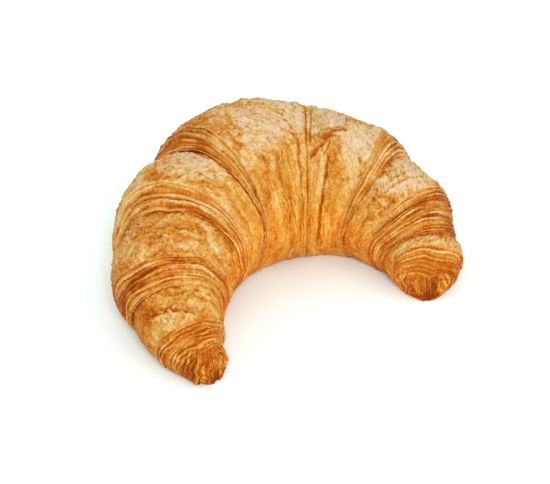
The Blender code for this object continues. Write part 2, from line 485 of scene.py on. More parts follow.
@dataclass(frozen=True)
class Tier:
    """The plan of one tier of the rolled dough, in millimetres.

    The layers hold how strongly each cut layer stands out, from the crest to the groove. Bake
    makes the whole tier browner, browner does so more and more over its cut layers, bay light
    paints light onto them in the bay, and pale sets how much pale crust and painted sheen its
    crown has. Flaky says how much its flakes stand out. A tier with an end runs on over the tip.
    """

    name: str
    side: Side
    start: Start
    skin: tuple[Mark, ...]
    groove: Mark
    layers: tuple[float, ...]
    segments: int
    seed: int
    lip: float = 0.62
    foot: float = 0.62
    emerge_depth: float = 0.5
    blisters: float = 1.0
    flaky: float = 1.0
    fan: Fan | None = None
    fine_lines: float = 1.0
    bake: float = 0.0
    browner: float = 0.0
    bay_light: float = 0.0
    pale: float = 1.0
    end: Mark | None = None
    creases: tuple[Crease, ...] = ()
    patches: tuple[Patch, ...] = ()

    BAY_GAIN, BAY_START, IN_BAY = 1.1, 0.1, 0.42
    UNDER_SHARE = 0.12
    UNDER_FROM, UNDER_TO = math.radians(-38), math.radians(218)
    EMERGE_LENGTH, EMERGE_RIDGE, FOLD_RIDGE = 2.4, 0.15, 0.45
    SWAY, JITTER = 0.8, 0.28
    WAVER, UNEVEN, TINT = (1.2, 0, 0, 7.3), (1.9, 4, 2, 3.1), (1.1, 9, 5, 5.9)
    UNEVEN_RANGE, SUNK_RANGE, SUNK_SCALE = (0.15, 1.8), (0.2, 1.4), 1.6
    PITCH, LAYER_PITCH = 0.34, 0.21
    LEAST_STEPS, TIP_RINGS = 6, 52
    EDGE_AT = 0.5
    END_TUCK = ((0.05, 0.4), (0.12, 0.9), (0.35, 1.6), (1.1, 2.6), (2.2, 3.8), (3.4, 5.2))
    STEP_ALONG = (0, 0.1, 0.2, 0.3, 0.4, 0.5, 0.58, 0.68, 0.8, 0.92, 1)
    STEP_SHAPES = (
        (0, 0.1, 0.18, 0.26, 0.33, 0.4, 0.52, 0.64, 0.78, 0.92, 1),
        (1, 0.8, 0.35, -0.15, -0.65, -1, -0.7, 0.1, 0.68, 0.96, 1),
        # Lightness: low in the valley, partly painted shade; above 1 on lips, a painted highlight.
        (1.35, 1.15, 0.78, 0.5, 0.22, 0, 0.18, 0.66, 0.94, 1.18, 1.35),
    )

    @cached_property
    def turn(self) -> Array:
        """The turns of the points in a ring.

        Returns:
            The turns in radians, from the middle of the underside on.
        """
        half = max(4, int(self.segments * self.UNDER_SHARE / 2) * 2) // 2
        stops = (-math.pi / 2, self.UNDER_FROM, self.UNDER_TO, 1.5 * math.pi)
        counts = (half, self.segments - 2 * half, half)
        parts = zip(stops, stops[1:], counts)
        return np.concatenate([np.linspace(*part, endpoint=False) for part in parts])

    def bay(self, turn: Array) -> Array:
        """How far each turn faces the bay, from 0 to 1."""
        return np.clip(self.BAY_START - self.BAY_GAIN * np.cos(turn), 0, 1)

    def rings(self) -> list[Ring]:
        """Lays out every ring, from the hidden start to the hidden end.

        Returns:
            The rings in order along the tier.
        """
        rings = self.root()
        for start, end in zip(self.skin, self.skin[1:]):
            rings += self.stretch(start.value, end.value, start is self.skin[0])
        rings += self.cut_layers(self.skin[-1].value, self.groove.value)
        if self.end is None:
            return rings + self.tuck(rings[-1])
        tip = self.stretch(self.groove.value, self.end.value, False)
        return rings + [ring._replace(cut=1) for ring in tip]

    def root(self) -> list[Ring]:
        """The rings that lie hidden under the tier before.

        Returns:
            The rings in order.
        """
        turn, line = self.turn, self.skin[0].value
        side, folded = self.side.value, self.start is Start.FOLD
        lift = line.lifts(self.bay(turn)) - (0 if folded else self.sunk())
        reach, ridge = line.reach(turn), self.FOLD_RIDGE * folded
        return [
            Ring(reach + side * along, lift + depth, line.top + side * along, ridge, sunk=1)
            for along, depth in self.start.value
        ]

    def stretch(self, start: Line, end: Line, first: bool) -> list[Ring]:
        """The rings of a smooth stretch of skin.

        Args:
            start: the line it starts from.
            end: the line it runs to.
            first: whether it is the tier's first stretch.

        Returns:
            The stretch's rings, without the one on its last line.
        """
        turn, bay = self.turn, self.bay(self.turn)
        to_tip = end in (Mark.LEFT_END.value, Mark.RIGHT_END.value)
        length = abs(end.top - start.top)
        count = self.TIP_RINGS if to_tip else max(self.LEAST_STEPS, round(length / self.PITCH))
        reaches = start.reach(turn), end.top if to_tip else end.reach(turn)
        lifts = start.lifts(bay), end.lifts(bay)
        emerges, sunk = first and self.start is Start.UNDER, self.sunk()
        rings = []
        for step in range(count):
            share = step / count
            if to_tip:
                share = math.sin(share * math.pi / 2)
            quarter = share * math.pi / 2
            rise = math.sin(quarter) if end.lift > start.lift else 1 - math.cos(quarter)
            out = min(1, share * length / self.EMERGE_LENGTH) if emerges else 1
            lift = mix(*lifts, rise) - sunk * (1 - out) ** 2
            ridge = mix(self.EMERGE_RIDGE, 1, math.sqrt(out))
            rings.append(Ring(mix(*reaches, share), lift, mix(start.top, end.top, share), ridge))
        return rings

    def sunk(self) -> Array:
        """How deep below its line the tier comes out from under the one before.

        Returns:
            The depth at each turn.
        """
        uneven = Grain(self.seed + 5).at(circle(self.turn) * self.SUNK_SCALE)
        depth = self.emerge_depth * np.clip(0.8 + 1.8 * uneven, *self.SUNK_RANGE)
        return depth * (1 - 0.5 * self.bay(self.turn))

    def layer_edges(self) -> list[tuple[Array, Array, Array]]:
        """Draws the edges of the cut layers.

        Returns:
            For each layer where it ends, how strongly it stands out and how light it is.
        """
        grain, around, last = Grain(self.seed), circle(self.turn), len(self.layers) - 1
        shifts = np.random.default_rng(self.seed).uniform(-self.JITTER, self.JITTER, last + 1)
        edges = []
        for index, strength in enumerate(self.layers):
            waver, uneven, tint = (
                grain.at(around * scale + (x, y, index * spacing))
                for scale, x, y, spacing in (self.WAVER, self.UNEVEN, self.TINT)
            )
            shift = (shifts[index] + self.SWAY * waver) / last if 0 < index < last else 0
            strength = strength * np.clip(1 + 1.9 * uneven, *self.UNEVEN_RANGE)
            light = 0.5 + 1.5 * tint + 0.5 * (index in (0, 1, last))
            edges.append((index / last + shift, strength, np.clip(light, 0, 1) / self.fine_lines))
        return edges

    def cut_layers(self, crest: Line, groove: Line) -> list[Ring]:
        """The rings of the cut dough layers, which step down like a worn stair.

        Args:
            crest: the line where the skin ends.
            groove: the line where the last layer ends.

        Returns:
            The rings, from the first lip to the last.
        """
        turn, bay, edges = self.turn, self.bay(self.turn), self.layer_edges()
        reaches = crest.reach(turn), groove.reach(turn)
        lifts = crest.lifts(bay), groove.lifts(bay)
        length = (abs(groove.top - crest.top) + abs(groove.back - crest.back)) / 2
        rings = []
        for (first, strong, light), (second, weak, dark) in zip(edges, edges[1:]):
            width = float(np.mean(second - first)) * length
            steps = max(self.LEAST_STEPS, round(width / self.LAYER_PITCH))
            for part in np.arange(steps) / steps:
                shapes = (np.interp(part, self.STEP_ALONG, shape) for shape in self.STEP_SHAPES)
                along, height, ridge = shapes
                place = mix(first, second, along)
                strength = mix(strong, weak, part) * (1 - (1 - self.IN_BAY) * bay)
                size = self.lip if height > 0 else self.foot
                lift = mix(*lifts, place) + height * size * strength
                ridge = 1 - (1 - ridge) * np.clip(strength, 0, 1)
                tint = light if part < self.EDGE_AT else dark
                straight = mix(crest.top, groove.top, place)
                rings.append(Ring(mix(*reaches, place), lift, straight, ridge, 1, 0, tint))
        return rings

    def tuck(self, last: Ring) -> list[Ring]:
        """The rings that turn back under the tier's last layer.

        Args:
            last: the layer's last ring.

        Returns:
            The rings in order.
        """
        side = self.side.value
        return [
            Ring(last.reach - side * back, last.lift - depth, last.straight, 0, 1, 1)
            for back, depth in self.END_TUCK
        ]


class Term(NamedTuple):
    """How much one pattern of a skin counts, and what the bay and the crown add to that."""

    pattern: str
    weight: float
    bay: float = 0.0
    crown: float = 0.0


class Weave(NamedTuple):
    """Noise stretched over a skin: its sizes in millimetres, its warp, shift and octaves."""

    across: float
    along: float
    warp: float
    shift: float
    octaves: int


class Skin:
    """The points of one tier, with the patterns that its relief and its browning share."""

    CROWN_TURN = math.radians(78)
    FLOOR_OF_HIDDEN = 0.5
    LAMINATION_LENGTH = 1.15
    TIP_LENGTH = 9.0
    WARP, PATCH, BLOTCH = (5.5, 3, 2), (15, 71, 2), (6, 0, 3)
    MOTTLE, GRIT = (2.4, 9, 3), (0.8, 31, 2)
    BAND, WRINKLE = Weave(3.6, 15, 0.9, 0, 3), Weave(1.7, 3.8, 1, 5, 3)
    FURROW = Weave(3.4, 14, 1.3, 25, 2)
    ASKEW, CRINKLE, CRINKLE_SHIFT = (0.77, 0.64), (4.2, 1.15), 61
    STREAK_LENGTHS, STREAK_SHIFT = (9, 40), 17
    RIDGE, RIDGE_LEVEL = 3.6, 0.6
    VEIN, VEIN_SIZE, VEIN_SHIFT = 9, 3.2, 47
    FLAKES, BUBBLES, CELL_SHIFT = (5, 7), (2.6, 2.9), 60
    BUBBLE_SIZES, BUBBLE_SHARE, RIM = (0.22, 0.6), (0.35, 0.8), (0.06, 0.24)
    LOW, CROWN = (-0.5, 0.2), (0.3, 0.97)
    GIRTH, DEEP = (0.5, 0.25), 99

    def __init__(self, tier: Tier, roll: Roll, rings: list[Ring], turn: Array) -> None:
        """Keeps a tier's points and draws its patterns.

        Args:
            tier: the tier's plan.
            roll: the plain roll.
            rings: the tier's rings.
            turn: the turns of the points of one ring, or of all.
        """
        self.tier, self.roll, width = tier, roll, rings[0].reach.shape
        self.reach, self.lift, self.straight, self.ridge, self.cut, self.sunk, self.tint = (
            np.array([np.broadcast_to(value, width) for value in values], float)
            for values in zip(*rings)
        )
        self.turn = np.broadcast_to(turn, self.reach.shape)
        self.even_out()
        self.bay = tier.bay(self.turn)
        self.floor = self.sunk * self.FLOOR_OF_HIDDEN
        self.plain = roll.point(self.reach, self.turn, 0 * self.reach, self.floor)
        self.thin = roll.near_tip(self.reach)
        self.cut_share = np.cumsum(self.cut, 0) / np.maximum(self.cut.sum(0), 1)
        left_over = roll.length(self.reach) - np.abs(self.reach)
        self.gathered = np.clip(1 - left_over / self.TIP_LENGTH, 0, 1)
        self.crown = soft_step(*self.CROWN, np.cos(self.turn - self.CROWN_TURN))
        self.girth = sum(share * size for share, size in zip(self.GIRTH, roll.sizes(self.reach)))
        self.arc = (self.turn - self.CROWN_TURN) * self.girth
        self.draw_patterns()
        self.draw_creases()

    def even_out(self) -> None:
        """Makes the distance along the skin a true one, also where the roll rounds off."""
        flat = 0 * self.reach
        points = self.roll.point(self.reach, self.turn, flat, flat - self.DEEP)
        steps = np.linalg.norm(np.diff(points, axis=0), axis=-1).mean(1)
        along = np.concatenate([[0], np.cumsum(steps)]) * self.tier.side.value
        middle = self.straight.mean(1)
        self.straight = self.straight + (along + middle[0] - middle)[:, None]

    def lifts_at(self, reach: Array, turn: Array, lift: Array) -> Array:
        """The lift of the bare skin at other places on it.

        Args:
            reach: where along the roll.
            turn: where round it.
            lift: the lift of this skin's own points.

        Returns:
            The lift at each place.
        """
        bare = (self.sunk[:, 0] + self.cut[:, 0]) == 0
        columns = np.clip(np.searchsorted(self.turn[0], turn), 0, self.turn.shape[1] - 1)
        found = np.empty(reach.shape)
        for place, column in np.ndenumerate(columns):
            found[place] = np.interp(reach[place], self.reach[bare, column], lift[bare, column])
        return found

    def draw_patterns(self) -> None:
        """Draws the blisters, flakes, wrinkles, streaks, pleats and blotches."""
        tier, across, along, flat = self.tier, self.straight, self.arc, 0 * self.arc
        grain = Grain(tier.seed + 1)
        warp, self.patch, self.blotch, self.mottle, self.grit = (
            grain.at(self.plain / size + shift, octaves)
            for size, shift, octaves in (self.WARP, self.PATCH, self.BLOTCH, self.MOTTLE, self.GRIT)
        )
        self.band, wrinkle, furrow = (
            grain.over(
                across / weave.across + weave.warp * warp, along / weave.along,
                weave.shift, weave.octaves,
            )
            for weave in (self.BAND, self.WRINKLE, self.FURROW)
        )
        smooth = min(1, 1.35 - 0.35 * tier.flaky)
        self.wrinkle = smooth * (self.RIDGE_LEVEL - off_ridge(wrinkle, self.RIDGE))
        self.furrow = self.RIDGE_LEVEL - off_ridge(furrow, self.RIDGE)
        more, less = self.ASKEW
        askew, over = more * across + less * along, more * along - less * across
        long, short = self.CRINKLE
        askew, over = askew / long + 0.5 * warp, over / short + 0.9 * warp
        crinkle = grain.over(askew, over, self.CRINKLE_SHIFT)
        self.crinkle = crinkle * self.crown * smooth
        streaks, far = across + warp * (1 - 0.8 * self.cut), self.STREAK_SHIFT
        lengths = mix(*self.STREAK_LENGTHS, self.cut)
        self.streak = grain.over(streaks + far, along / lengths + far, far, 3)
        crossing = self.plain / self.VEIN_SIZE + 0.5 * warp[..., None]
        crossing = grain.at(crossing + self.VEIN_SHIFT, 3)
        self.vein = 1 - off_ridge(crossing, self.VEIN)
        jag, wide = 0.7 * warp + 0.3 * self.mottle, 0.85 + 0.15 * tier.flaky
        (length, breadth), far = self.FLAKES, self.CELL_SHIFT
        flakes = across / (length * wide) + far + jag, along / (breadth * wide) + far - jag
        self.plate, _, edge = Cells(tier.seed + 2).at(*flakes)
        self.rim = 1 - soft_step(*self.RIM, edge)
        length, breadth = self.BUBBLES
        bubbles = Cells(tier.seed + 3).at(across / length + far, along / breadth + far)
        dome = np.clip(1 - (bubbles[1] / mix(*self.BUBBLE_SIZES, bubbles[0])) ** 2, 0, 1)
        self.dome = dome * soft_step(*self.BUBBLE_SHARE, bubbles[0])
        self.fan = tier.fan or Fan(0, 0, 0, 0, 0)
        drawn = self.fan.draw(self, grain) if tier.fan else (flat, flat, flat)
        self.pleated, self.pleat, self.rib = drawn
        self.low = 1 - soft_step(*self.LOW, np.sin(self.turn))
        phase = across / self.LAMINATION_LENGTH + 0.3 * self.blotch / tier.fine_lines
        self.lines = np.sin(2 * math.pi * phase) * tier.fine_lines * (1 - self.pleated) ** 2

    def total(self, *terms: Term) -> Array:
        """The sum of some patterns, each by its weight."""
        weights = (term.weight + term.bay * self.bay + term.crown * self.crown for term in terms)
        return sum(weight * getattr(self, term.pattern) for weight, term in zip(weights, terms))

    def draw_creases(self) -> None:
        """Adds up what the tier's creases and patches do to its relief and its tone."""
        none = np.zeros((4, *self.arc.shape))
        self.crease_lift, self.added_shade, self.added_pale, self.bare = none
        for crease in self.tier.creases:
            line, lip = crease.marks(self)
            self.crease_lift += crease.lip * lip - crease.depth * line
            # Darker line, partly painted shade in the crease; lighter lip, a painted highlight.
            self.added_shade += crease.shade * line - crease.LIP_LIGHT * crease.lip * lip
            self.bare = np.maximum(self.bare, crease.bare * np.sqrt(line))
        for patch in self.tier.patches:
            cover = patch.cover(self)
            self.added_shade += patch.shade * cover
            self.added_pale += patch.pale * cover


@dataclass(frozen=True)
class Relief:
    """Raises the crust: slow swells as on the solid, then blisters, flakes and wrinkles."""

    skin: Skin

    SWELLS = ((17, 0.7), (6.5, 0.55))
    DENTS = (
        Dent(-88, 172, 9, 9, -2.2), Dent(-77, 188, 5, 7, -1), Dent(-50, 8, 6, 11, -1.7),
        Dent(-23, 37, 5, 11, -1.6), Dent(-29, 202, 8, 7, -1.3), Dent(36, 203, 7, 7, -1),
        Dent(62, 211, 8, 7, -1.4), Dent(57.5, 44, 5, 12, 2), Dent(67, 37, 4.5, 10, -1.2),
        Dent(91, 16, 6, 9, 1.5), Dent(79, 211, 12, 8, -1.9), Dent(97, 200, 8, 8, -1.8),
        Dent(-96, 175, 4, 8, -1), Dent(22, 70, 4, 9, -1), Dent(99, 12, 5, 7, 1.2),
        Dent(99, 158, 5, 7, 1.2),
    )
    FOLD_SPACING, FOLD_STRETCH, FOLD_DEPTH, FOLD_ON_BACK = 5.5, 0.9, 0.9, 0.3
    TIP_FOLDS, TIP_FOLD_DEPTH = 7, 0.6
    BLISTER, PLATE = Term("dome", 0.08, crown=0.32), 0.34
    SMOOTH = (
        Term("wrinkle", 0.34, bay=-0.238), Term("furrow", 0.12, bay=0.08), Term("band", 0.5),
        Term("crinkle", 0.6), Term("vein", -0.042, crown=-0.098),
    )
    EVERYWHERE = (Term("streak", 0.16), Term("grit", 0.2), Term("mottle", 0.22))
    RAGGED, RIM, RIB, LAMINATION = 0.35, 0.7, 0.3, 0.12
    AT_TIP = 0.35

    def slow(self) -> Array:
        """The swells, folds and pinched ends that the solid has too.

        Returns:
            Lifts in millimetres.
        """
        skin, turn, reach = self.skin, self.skin.turn, self.skin.reach
        origin = np.array(Line.WANDER_ORIGIN)
        swell = sum(
            size * self.solid_noise(skin.plain / scale + origin) for scale, size in self.SWELLS
        )
        folds = np.stack([reach / self.FOLD_SPACING, turn * self.FOLD_STRETCH, 0 * turn], -1)
        depth = self.FOLD_DEPTH * mix(self.FOLD_ON_BACK, 1, skin.bay)
        pinch = self.TIP_FOLD_DEPTH * skin.pleated * np.sin(self.TIP_FOLDS * turn + reach)
        dents = sum(dent.rise(skin) for dent in self.DENTS)
        return swell * skin.thin + depth * self.solid_noise(folds + origin) + pinch + dents

    def solid_noise(self, places: Array) -> Array:
        """The same noise as the solid's, at an array of places."""
        flat = [noise.noise(place) for place in places.reshape(-1, 3).tolist()]
        return np.array(flat).reshape(places.shape[:-1])

    def fine(self) -> Array:
        """The crust's own relief, finer than the solid's.

        Returns:
            Lifts in millimetres.
        """
        skin, tier, fan = self.skin, self.skin.tier, self.skin.fan
        flakes = tier.flaky * (1 + 2 * (tier.flaky - 1) * skin.rim) * (1 - 0.5 * skin.bay)
        relief = tier.blisters * skin.total(self.BLISTER) + skin.total(*self.SMOOTH)
        relief = relief + self.PLATE * flakes * (skin.plate - 0.5)
        relief = relief * (1 - skin.bare) + skin.crease_lift
        fanned = fan.depth * (skin.pleat - 0.5) + self.RIB * fan.ribs * skin.rib
        layered = self.LAMINATION * skin.lines * skin.cut + fanned * skin.pleated
        smooth = (1 - skin.cut) * np.clip(skin.ridge, 0, 1)
        total = smooth * relief + layered + skin.total(*self.EVERYWHERE)
        return total * mix(self.AT_TIP, 1, skin.thin)

    def lift(self) -> Array:
        """How far every point stands out of the plain roll, in millimetres."""
        return self.skin.lift + self.slow() + self.fine()

    def points(self) -> Array:
        """The tier's final points in metres.

        Returns:
            The points, centred on the origin.
        """
        skin = self.skin
        ragged = skin.cut * skin.ridge**2 * self.RAGGED * skin.mottle * skin.thin**2
        rim = self.RIM * skin.fan.depth * (skin.pleat - 0.5) * skin.pleated * skin.gathered
        reach = skin.reach + skin.tier.side.value * (ragged + rim)
        return skin.roll.placed(skin.roll.point(reach, skin.turn, self.lift(), skin.floor))


@dataclass(frozen=True)
class TornSheet:
    """A thin sheet of crust, grown onto a tier on two sides and torn loose on the others.

    Reaches, thicknesses and lifts are in millimetres and turns in degrees. The lower edge runs
    from the near side over a corner to the far side.
    """

    near_reach: float = 28.7
    far_reach: float = 38.0
    far_reach_low: float = 42.4
    back_turn: float = 46.0
    low_turns: Triple = (113.5, 100, 89)
    corner: float = 0.48
    thickness: float = 0.34
    rise: float = 1.0
    sink: float = 0.45
    columns: int = 46
    rows: int = 110
    seed: int = 131

    def spread(self) -> tuple[Array, Array, Array]:
        """Where each point lies on the sheet.

        Returns:
            The share from the near side to the far one, the share from the back to the lower
            edge, and 1 on the upper side or 0 on the under side.
        """
        over, down = (
            (1 - np.cos(np.linspace(0, math.pi, count))) / 2 for count in (self.columns, self.rows)
        )
        across = np.concatenate([over, over[-2:0:-1]])
        upper = 1.0 * (np.arange(len(across)) < self.columns)
        return np.broadcast_arrays(across, down[:, None], upper)

    def places(self, across: Array, down: Array, ragged: Array) -> tuple[Array, Array]:
        """Reaches and turns of places on the sheet.

        Args:
            across: shares from the near side to the far one.
            down: shares from the back to the lower edge.
            ragged: how far the torn edges stray, in millimetres.

        Returns:
            The reaches, and the turns in radians.
        """
        low = np.interp(across, (0, self.corner, 1), self.low_turns) + ragged
        far = mix(self.far_reach, self.far_reach_low, down) + ragged
        return mix(self.near_reach, far, across), np.radians(mix(self.back_turn, low, down))

    def stand_off(self, across: Array, down: Array, upper: Array) -> Array:
        """How far the sheet stands off the tier that it is torn from, in millimetres.

        Args:
            across: shares from the near side to the far one.
            down: shares from the back to the lower edge.
            upper: 1 on the upper side and 0 on the under side.

        Returns:
            The distance of each point.
        """
        hole = np.sin(math.pi * np.clip(across, 0, 1) ** 1.3) ** 0.7
        loose = np.clip(down**4 * (0.4 + 0.6 * hole) + 0.42 * across**5, 0, 1)
        edge = (1 - (2 * across - 1) ** 12) * (1 - (2 * down - 1) ** 24)
        return mix(-self.sink, self.rise, loose) + self.thickness * np.sqrt(edge) * upper


# Mostly browning, with painted shade in hollows, painted light on raised edges and the bay side.
@dataclass(frozen=True)
class BrowningAndPaintedLight:
    """How dark each point is, from 0 for the palest crust to 1 for the darkest."""

    skin: Skin

    SKIN, CROWN_PALE, HOLE, SUNK, BAY, RIM, PLATE = 0.455, 0.26, 0.8, 0.35, 0.05, 0.24, 0.12
    MIXED = (Term("patch", 1), Term("blotch", 0.4), Term("mottle", 0.3), Term("plate", 0.6))
    # Blisters and crinkles on the crown are painted lighter: painted highlight on raised crust.
    CRUST = (
        Term("band", 0.11, bay=0.17), Term("wrinkle", -0.16, bay=0.12), Term("streak", 0.1),
        Term("furrow", -0.024, bay=-0.056), Term("mottle", 0.1), Term("grit", 0.2),
        Term("crinkle", -0.2), Term("dome", 0, crown=-0.1), Term("low", 0.06),
        Term("vein", 0.027, crown=0.063), Term("added_shade", 1),
    )
    VALLEY, LIP, LIP_PALE, TINT, CUT_BAY = 1.0, 0.62, 0.26, 0.22, 0.06
    PATCHY = (Term("blotch", 0.09), Term("mottle", 0.07))
    LAYERED = (
        Term("lines", 0.1), Term("streak", 0.22), Term("grit", 0.14),
        # On top the lips are painted lighter: a painted highlight.
        Term("ridge", 0, crown=-0.06),
    )
    PLEAT, PLEAT_LEVEL, RIB = 0.16, 0.45, 0.4
    GROWING = (0.2, 0.6, 2.2)

    def pale_patches(self) -> Array:
        """Where the crown is pale, from 0 to 1: partly paler crust, partly painted sheen.

        Returns:
            How light each point is.
        """
        skin = self.skin
        patchy = soft_step(-0.1, 0.6, skin.total(*self.MIXED)) * skin.crown * skin.tier.pale
        patchy = np.clip(patchy + skin.added_pale, 0, 1) * (1 - skin.bare)
        # The cut layers' lips take some of the pale: a painted highlight.
        return patchy * (1 - skin.cut) + self.LIP_PALE * skin.cut * skin.tint

    def crust(self) -> Array:
        """The tone of the smooth skin, with its painted shade and light.

        Returns:
            The tone of each point.
        """
        skin, flaky, plate = self.skin, self.skin.tier.flaky, self.skin.plate
        crust = self.SKIN - self.CROWN_PALE * self.pale_patches() + skin.total(*self.CRUST)
        # Flake rims: painted highlight on raised flakes' edges and painted shade on low ones.
        crust = crust + self.RIM * flaky * skin.rim * (0.5 - plate) * (1 - 0.4 * skin.bay)
        # The side facing the bay is painted lighter: painted light on the bay side.
        crust = crust + self.PLATE * (flaky - 1) * (0.4 - plate) - self.BAY * skin.bay
        # Darker where a tier comes out from under another: browner crust and painted shade.
        crust = crust + self.SUNK * (1 - np.clip(skin.ridge, 0, 1))
        # The torn hole's dark red: partly the colour inside it, partly painted shade in the hole.
        return mix(crust, self.HOLE, skin.bare)

    def layered(self) -> Array:
        """The tone of the cut layers, with their painted shade and highlights.

        Returns:
            The tone of each point.
        """
        skin = self.skin
        # Dark valleys, light lips: partly the layers' colour, partly painted shade and highlight.
        layered = mix(self.VALLEY, self.LIP, skin.ridge) + skin.total(*self.LAYERED)
        layered = layered + skin.total(*self.PATCHY) / skin.tier.fine_lines
        layered = layered - self.TINT * skin.tint * skin.ridge
        # Lighter on the side facing the bay: painted light on the bay side.
        return layered - (self.CUT_BAY + skin.tier.bay_light) * skin.bay

    def tone(self) -> Array:
        """The tone of every point, with its painted shade and light.

        Returns:
            The tone of each point, from 0 to 1.
        """
        skin, tier, fan = self.skin, self.skin.tier, self.skin.fan
        fanned = self.PLEAT * fan.depth * (self.PLEAT_LEVEL - skin.pleat)
        fanned = (fanned - self.RIB * fan.ribs * skin.rib) * skin.pleated
        start, along, at_tip = self.GROWING
        growing = start + along * skin.cut_share + at_tip * skin.gathered**2
        tone = mix(self.crust(), self.layered(), skin.cut) + tier.bake + fanned
        return np.clip(tone + tier.browner * skin.cut * growing, 0, 1)

    def marks(self) -> dict[str, Array]:
        """The numbers that the finish reads at each point.

        Returns:
            The values by name.
        """
        skin = self.skin
        return {
            "tone": self.tone(),
            "pale": self.pale_patches(),
            "cut": skin.cut,
            "along": skin.straight,
            "round": skin.arc,
            # The low bay side, warmed in the finish: painted warm light.
            "bay_glow": soft_step(0.45, 1, skin.bay) * (1 - soft_step(0, 0.65, np.sin(skin.turn))),
        }


def math_method(operation: str, reflected: bool = False) -> Callable[["Value", Any], "Value"]:
    """Makes the method that stands for an operator.

    Args:
        operation: the Math node's operation.
        reflected: whether the other term comes first.

    Returns:
        The method.
    """

    def combined(self: "Value", other: Any) -> "Value":
        """One Math node on two terms."""
        terms = (other, self) if reflected else (self, other)
        return self.board.node("ShaderNodeMath", {"operation": operation}, dict(enumerate(terms)))

    return combined


@dataclass(frozen=True)
class Value:
    """A shader socket that takes part in Python arithmetic."""

    board: "Board"
    socket: bpy.types.NodeSocket | None

    __add__, __radd__ = math_method("ADD"), math_method("ADD", True)
    __sub__, __rsub__ = math_method("SUBTRACT"), math_method("SUBTRACT", True)
    __mul__, __rmul__ = math_method("MULTIPLY"), math_method("MULTIPLY", True)

    def clamped(self) -> "Value":
        """The value kept between 0 and 1."""
        settings = {"operation": "ADD", "use_clamp": True}
        return self.board.node("ShaderNodeMath", settings, {0: self, 1: 0.0})


class Board:
    """The node tree of one material."""

    def __init__(self, name: str) -> None:
        """Starts an empty tree.

        Args:
            name: the material's name.
        """
        self.material = bpy.data.materials.new(name)
        self.material.use_nodes = True
        self.tree = self.material.node_tree
        self.tree.nodes.clear()

    def node(
        self,
        kind: str,
        settings: Mapping[str, Any] | None = None,
        inputs: Mapping[str | int, Any] | None = None,
        output: str | int = 0,
    ) -> Value:
        """Adds one node.

        Args:
            kind: the node's type.
            settings: its settings, set first. A ramp's "stops" are pairs of place and colour.
            inputs: a number, colour or Value for each named or numbered socket.
            output: the socket to return.

        Returns:
            The chosen output.
        """
        made = self.tree.nodes.new(kind)
        for name, setting in (settings or {}).items():
            if name == "stops":
                self.set_stops(made.color_ramp, setting)
            else:
                setattr(made, name, setting)
        for name, given in (inputs or {}).items():
            if isinstance(given, Value):
                self.tree.links.new(given.socket, made.inputs[name])
            else:
                made.inputs[name].default_value = given
        return Value(self, made.outputs[output] if made.outputs else None)

    def set_stops(
        self, ramp: bpy.types.ColorRamp, stops: Sequence[tuple[float, Colour]]
    ) -> None:
        """Sets a ramp's stops.

        Args:
            ramp: the ramp.
            stops: pairs of place and colour, in order of place.
        """
        while len(ramp.elements) > 1:
            ramp.elements.remove(ramp.elements[-1])
        ramp.elements[0].position, ramp.elements[0].color = stops[0]
        for place, colour in stops[1:]:
            ramp.elements.new(place).color = colour

    def attribute(self, name: str) -> Value:
        """A number stored on the mesh's points."""
        return self.node("ShaderNodeAttribute", {"attribute_name": name}, output="Fac")

    def place(self, x: Any, y: Any, z: float = 0.0) -> Value:
        """A place given by its coordinates."""
        return self.node("ShaderNodeCombineXYZ", None, {"X": x, "Y": y, "Z": z})

    def noise(self, place: Value, scale: float, detail: float, roughness: float = 0.5) -> Value:
        """Noise around 0 at a place."""
        inputs = {"Vector": place, "Scale": scale, "Detail": detail, "Roughness": roughness}
        return self.node("ShaderNodeTexNoise", None, inputs) - 0.5

    def blend(self, share: Any, first: Any, second: Any, how: str = "MIX") -> Value:
        """Two colours mixed or multiplied."""
        settings = {"data_type": "RGBA", "blend_type": how}
        return self.node("ShaderNodeMix", settings, {0: share, 6: first, 7: second}, output=2)

    def finish(self, shader: Value) -> bpy.types.Material:
        """Gives the material its surface."""
        self.node("ShaderNodeOutputMaterial", None, {"Surface": shader})
        return self.material


